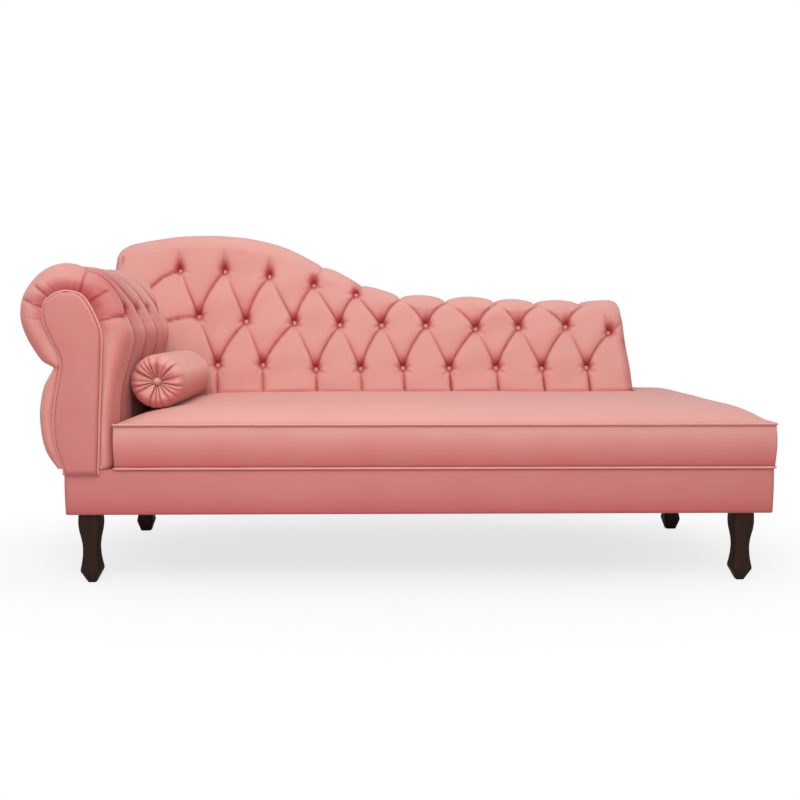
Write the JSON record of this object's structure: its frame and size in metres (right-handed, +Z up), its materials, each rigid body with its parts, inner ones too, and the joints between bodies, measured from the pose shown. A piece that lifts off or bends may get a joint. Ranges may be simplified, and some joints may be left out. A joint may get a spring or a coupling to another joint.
{
  "type": "fainting couch",
  "caption": "Upholstered fainting couch with one rolled arm, a buttoned back that slopes down along the seat, a crowned seat pad, turned-in wooden legs and a loose bolster.",
  "frame": {"origin": "on the floor, under the middle of the couch's bounding box", "axes": "+X along the couch from the rolled arm to the open end, +Y from the sitter's side to the rear of the back, +Z up"},
  "size_m": [1.8464, 0.6744, 0.8963],
  "materials": {
    "upholstery": "matt salmon-pink suede-like velvet",
    "walnut": "dark walnut stain, satin",
    "pine": "sawn, bare",
    "plywood": "sawn sheet, bare",
    "foam": "open-cell foam, matt",
    "webbing": "woven elastic webbing, matt",
    "steel": "zinc plated",
    "dust_cloth": "black non-woven cloth"
  },
  "bodies": {
    "couch": {"arm_cover": "upholstery", "arm_foam": "foam", "arm_front_board": "plywood", "arm_front_facing": "upholstery", "arm_front_welt": "upholstery", "arm_liner": "plywood", "arm_rear_board": "plywood", "arm_rear_facing": "upholstery", "arm_stretcher_bottom": "pine", "arm_stretcher_middle": "pine", "arm_stretcher_top": "pine", "back_bottom_rail": "pine", "back_cover": "upholstery", "back_foam": "foam", "back_panel": "plywood", "back_post_left": "pine", "back_post_middle": "pine", "back_post_right": "pine", "back_rear_cover": "upholstery", "base_cover_front": "upholstery", "base_cover_left": "upholstery", "base_cover_rear": "upholstery", "base_cover_right": "upholstery", "corner_block_front_left": "pine", "corner_block_front_right": "pine", "corner_block_rear_left": "pine", "corner_block_rear_right": "pine", "cross_rail_1": "pine", "cross_rail_2": "pine", "dust_cover": "dust_cloth", "front_rail": "pine", "left_end_rail": "pine", "leg_bolt_front_left": "steel", "leg_bolt_front_right": "steel", "leg_bolt_rear_left": "steel", "leg_bolt_rear_right": "steel", "leg_front_left": "walnut", "leg_front_right": "walnut", "leg_plate_front_left": "steel", "leg_plate_front_right": "steel", "leg_plate_rear_left": "steel", "leg_plate_rear_right": "steel", "leg_rear_left": "walnut", "leg_rear_right": "walnut", "rear_rail": "pine", "right_end_rail": "pine", "seat_cover": "upholstery", "seat_edge_welt": "upholstery", "seat_foam": "foam", "seat_seam_welt": "upholstery", "webbing_strap_1": "webbing", "webbing_strap_2": "webbing", "webbing_strap_3": "webbing", "webbing_strap_4": "webbing", "webbing_strap_5": "webbing", "webbing_strap_6": "webbing"},
    "bolster": {"bolster_button_front": "upholstery", "bolster_button_rear": "upholstery", "bolster_core": "foam", "bolster_cover": "upholstery"}
  },
  "joints": [
    {"name": "bolster_lift", "type": "slide", "parent": "couch", "child": "bolster", "axis": [0.5, 0, 0.866], "range_m": [0, 0.5]}
  ]
}
